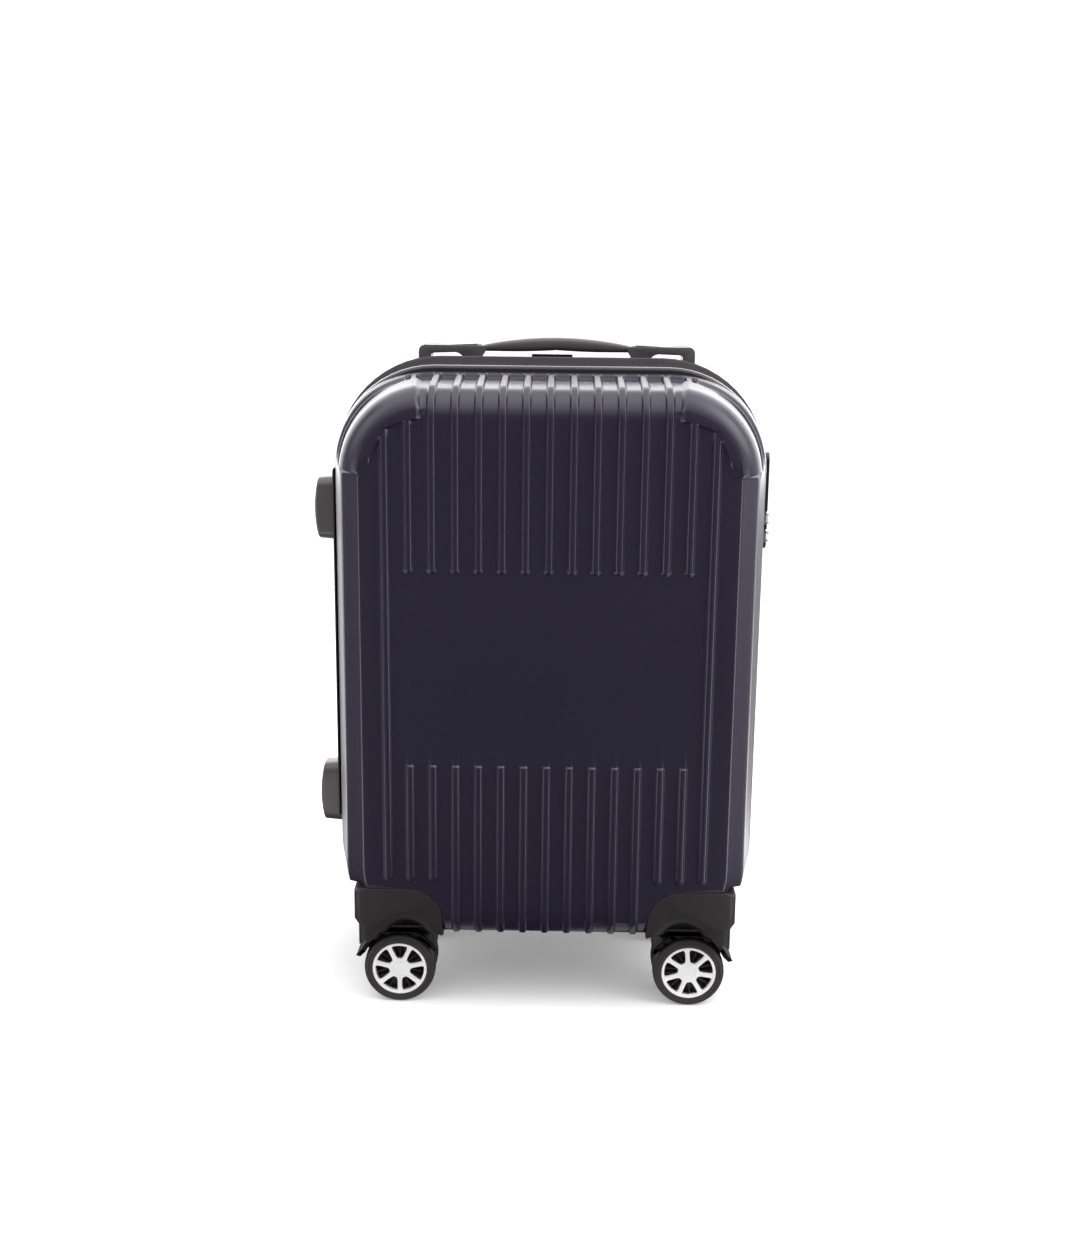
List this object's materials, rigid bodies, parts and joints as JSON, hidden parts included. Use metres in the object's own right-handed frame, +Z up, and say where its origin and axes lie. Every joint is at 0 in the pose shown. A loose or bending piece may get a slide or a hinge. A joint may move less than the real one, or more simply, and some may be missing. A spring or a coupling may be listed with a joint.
{
  "type": "hard shell suitcase",
  "caption": "Upright hard shell cabin suitcase with ribbed faces, a zip band, book-like opening, telescopic trolley, carry handle, lock, side feet and swivelling twin wheel casters.",
  "frame": {"origin": "middle of the overall box, on the floor under the wheels", "axes": "+X to the right seen from the front, +Y from the front face to the back face with the trolley, +Z up"},
  "size_m": [0.386, 0.203, 0.55],
  "materials": {
    "shell": "glossy, with a fine diamond texture",
    "zip_tape": "woven tape",
    "lining": "woven polyester",
    "lock_metal": "satin",
    "trim": "fine grain",
    "handle": "soft touch",
    "tube": "anodised",
    "steel": "zinc plated",
    "hub": "silver paint",
    "tyre": "smooth"
  },
  "bodies": {
    "case": {"rear_shell": "shell", "rear_zip_tape": "zip_tape", "rear_lining": "lining", "zip_sliders": "lock_metal", "lock_body": "trim", "lock_plate": "lock_metal", "trolley_bezel": "trim", "outer_tubes": "tube", "trolley_foot": "trim", "bracket_left": "trim", "bracket_right": "trim", "side_feet": "trim", "case_screws": "steel", "housing_rear_left": "trim", "housing_rear_right": "trim"},
    "hinge_strip": {"hinge_strip": "zip_tape"},
    "lid": {"front_shell": "shell", "front_zip_tape": "zip_tape", "lid_screws": "steel", "housing_front_left": "trim", "housing_front_right": "trim"},
    "pull_tab_upper": {"pull_tab_upper": "lock_metal"},
    "pull_tab_lower": {"pull_tab_lower": "lock_metal"},
    "lock_slider": {"lock_slider": "trim"},
    "dial_1": {"dial_1": "lock_metal"},
    "dial_2": {"dial_2": "lock_metal"},
    "dial_3": {"dial_3": "lock_metal"},
    "trolley_middle": {"middle_tubes": "tube"},
    "trolley_grip": {"inner_tubes": "tube", "trolley_grip": "handle"},
    "grip_button": {"grip_button": "handle"},
    "carry_grip": {"carry_grip": "handle"},
    "caster_front_left": {"fork_front_left": "trim", "kingpin_front_left": "steel", "axle_front_left": "steel"},
    "outer_wheel_front_left": {"outer_hub_front_left": "hub", "outer_tyre_front_left": "tyre"},
    "inner_wheel_front_left": {"inner_hub_front_left": "hub", "inner_tyre_front_left": "tyre"},
    "caster_front_right": {"fork_front_right": "trim", "kingpin_front_right": "steel", "axle_front_right": "steel"},
    "outer_wheel_front_right": {"outer_hub_front_right": "hub", "outer_tyre_front_right": "tyre"},
    "inner_wheel_front_right": {"inner_hub_front_right": "hub", "inner_tyre_front_right": "tyre"},
    "caster_rear_left": {"fork_rear_left": "trim", "kingpin_rear_left": "steel", "axle_rear_left": "steel"},
    "outer_wheel_rear_left": {"outer_hub_rear_left": "hub", "outer_tyre_rear_left": "tyre"},
    "inner_wheel_rear_left": {"inner_hub_rear_left": "hub", "inner_tyre_rear_left": "tyre"},
    "caster_rear_right": {"fork_rear_right": "trim", "kingpin_rear_right": "steel", "axle_rear_right": "steel"},
    "outer_wheel_rear_right": {"outer_hub_rear_right": "hub", "outer_tyre_rear_right": "tyre"},
    "inner_wheel_rear_right": {"inner_hub_rear_right": "hub", "inner_tyre_rear_right": "tyre"}
  },
  "joints": [
    {"name": "strip_fold", "type": "hinge", "parent": "case", "child": "hinge_strip", "pos_m": [-0.1681, 0.005, 0.294], "axis": [0, 0, -1], "range_deg": [0, 90]},
    {"name": "lid_fold", "type": "hinge", "parent": "hinge_strip", "child": "lid", "pos_m": [-0.1681, -0.025, 0.294], "axis": [0, 0, -1], "range_deg": [0, 90]},
    {"name": "tab_upper_swing", "type": "hinge", "parent": "case", "child": "pull_tab_upper", "pos_m": [0.1913, -0.008, 0.405], "axis": [0, 0, -1], "range_deg": [0, 165]},
    {"name": "tab_lower_swing", "type": "hinge", "parent": "case", "child": "pull_tab_lower", "pos_m": [0.1913, -0.008, 0.39], "axis": [0, 0, -1], "range_deg": [0, 165]},
    {"name": "lock_slider_lift", "type": "slide", "parent": "case", "child": "lock_slider", "axis": [0, 0, 1], "range_m": [0, 0.004], "stiffness_N_per_m": 300, "springref_m": -0.001},
    {"name": "dial_1_turn", "type": "hinge", "parent": "case", "child": "dial_1", "pos_m": [0.1872, 0.02825, 0.445], "axis": [0, 0, 1], "continuous": true},
    {"name": "dial_2_turn", "type": "hinge", "parent": "case", "child": "dial_2", "pos_m": [0.1872, 0.02825, 0.437], "axis": [0, 0, 1], "continuous": true},
    {"name": "dial_3_turn", "type": "hinge", "parent": "case", "child": "dial_3", "pos_m": [0.1872, 0.02825, 0.429], "axis": [0, 0, 1], "continuous": true},
    {"name": "trolley_lower_slide", "type": "slide", "parent": "case", "child": "trolley_middle", "axis": [0, 0, 1], "range_m": [0, 0.245]},
    {"name": "trolley_upper_slide", "type": "slide", "parent": "trolley_middle", "child": "trolley_grip", "axis": [0, 0, 1], "range_m": [0, 0.24]},
    {"name": "grip_button_press", "type": "slide", "parent": "trolley_grip", "child": "grip_button", "axis": [0, 0, -1], "range_m": [0, 0.0045], "stiffness_N_per_m": 600, "springref_m": -0.002},
    {"name": "carry_grip_lift", "type": "slide", "parent": "case", "child": "carry_grip", "axis": [0, 0, 1], "range_m": [0, 0.008]},
    {"name": "swivel_front_left", "type": "hinge", "parent": "lid", "child": "caster_front_left", "pos_m": [-0.0975, -0.061, 0.08], "axis": [0, 0, 1], "continuous": true},
    {"name": "outer_wheel_front_left_spin", "type": "hinge", "parent": "caster_front_left", "child": "outer_wheel_front_left", "pos_m": [-0.1115, -0.061, 0.03], "axis": [0, 1, 0], "continuous": true},
    {"name": "inner_wheel_front_left_spin", "type": "hinge", "parent": "caster_front_left", "child": "inner_wheel_front_left", "pos_m": [-0.1115, -0.061, 0.03], "axis": [0, 1, 0], "continuous": true},
    {"name": "swivel_front_right", "type": "hinge", "parent": "lid", "child": "caster_front_right", "pos_m": [0.1175, -0.061, 0.08], "axis": [0, 0, 1], "continuous": true},
    {"name": "outer_wheel_front_right_spin", "type": "hinge", "parent": "caster_front_right", "child": "outer_wheel_front_right", "pos_m": [0.1315, -0.061, 0.03], "axis": [0, 1, 0], "continuous": true},
    {"name": "inner_wheel_front_right_spin", "type": "hinge", "parent": "caster_front_right", "child": "inner_wheel_front_right", "pos_m": [0.1315, -0.061, 0.03], "axis": [0, 1, 0], "continuous": true},
    {"name": "swivel_rear_left", "type": "hinge", "parent": "case", "child": "caster_rear_left", "pos_m": [-0.0975, 0.061, 0.08], "axis": [0, 0, 1], "continuous": true},
    {"name": "outer_wheel_rear_left_spin", "type": "hinge", "parent": "caster_rear_left", "child": "outer_wheel_rear_left", "pos_m": [-0.1115, 0.061, 0.03], "axis": [0, 1, 0], "continuous": true},
    {"name": "inner_wheel_rear_left_spin", "type": "hinge", "parent": "caster_rear_left", "child": "inner_wheel_rear_left", "pos_m": [-0.1115, 0.061, 0.03], "axis": [0, 1, 0], "continuous": true},
    {"name": "swivel_rear_right", "type": "hinge", "parent": "case", "child": "caster_rear_right", "pos_m": [0.1175, 0.061, 0.08], "axis": [0, 0, 1], "continuous": true},
    {"name": "outer_wheel_rear_right_spin", "type": "hinge", "parent": "caster_rear_right", "child": "outer_wheel_rear_right", "pos_m": [0.1315, 0.061, 0.03], "axis": [0, 1, 0], "continuous": true},
    {"name": "inner_wheel_rear_right_spin", "type": "hinge", "parent": "caster_rear_right", "child": "inner_wheel_rear_right", "pos_m": [0.1315, 0.061, 0.03], "axis": [0, 1, 0], "continuous": true}
  ],
  "couplings": [
    {"joint": "lid_fold", "follows": "strip_fold", "ratio": 1}
  ]
}
